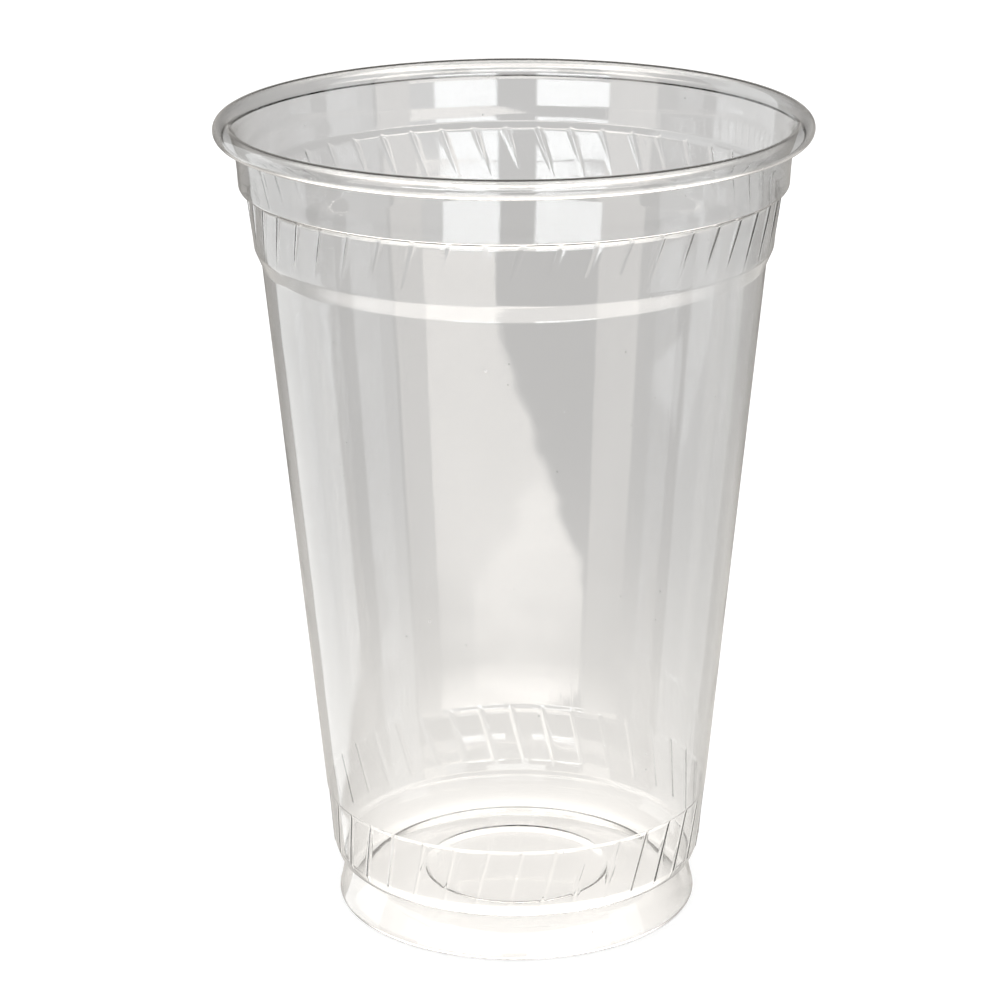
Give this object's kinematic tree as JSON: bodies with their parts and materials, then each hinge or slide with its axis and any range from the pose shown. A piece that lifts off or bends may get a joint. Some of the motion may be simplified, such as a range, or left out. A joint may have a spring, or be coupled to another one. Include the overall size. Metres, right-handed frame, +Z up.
{
  "type": "clear plastic cold drink cup",
  "caption": "Tall clear plastic disposable cup with a rolled rim, a lid band, slanted flutes, a tapered wall and a flared hollow foot.",
  "frame": {"origin": "centre of the foot's rest ring, on the surface that the cup stands on", "axes": "+Z up along the cup's axis, towards the rolled rim"},
  "size_m": [0.098, 0.098, 0.137],
  "materials": {
    "clear_pet": "gloss"
  },
  "bodies": {
    "root": {"cup": "clear_pet"}
  },
  "joints": []
}
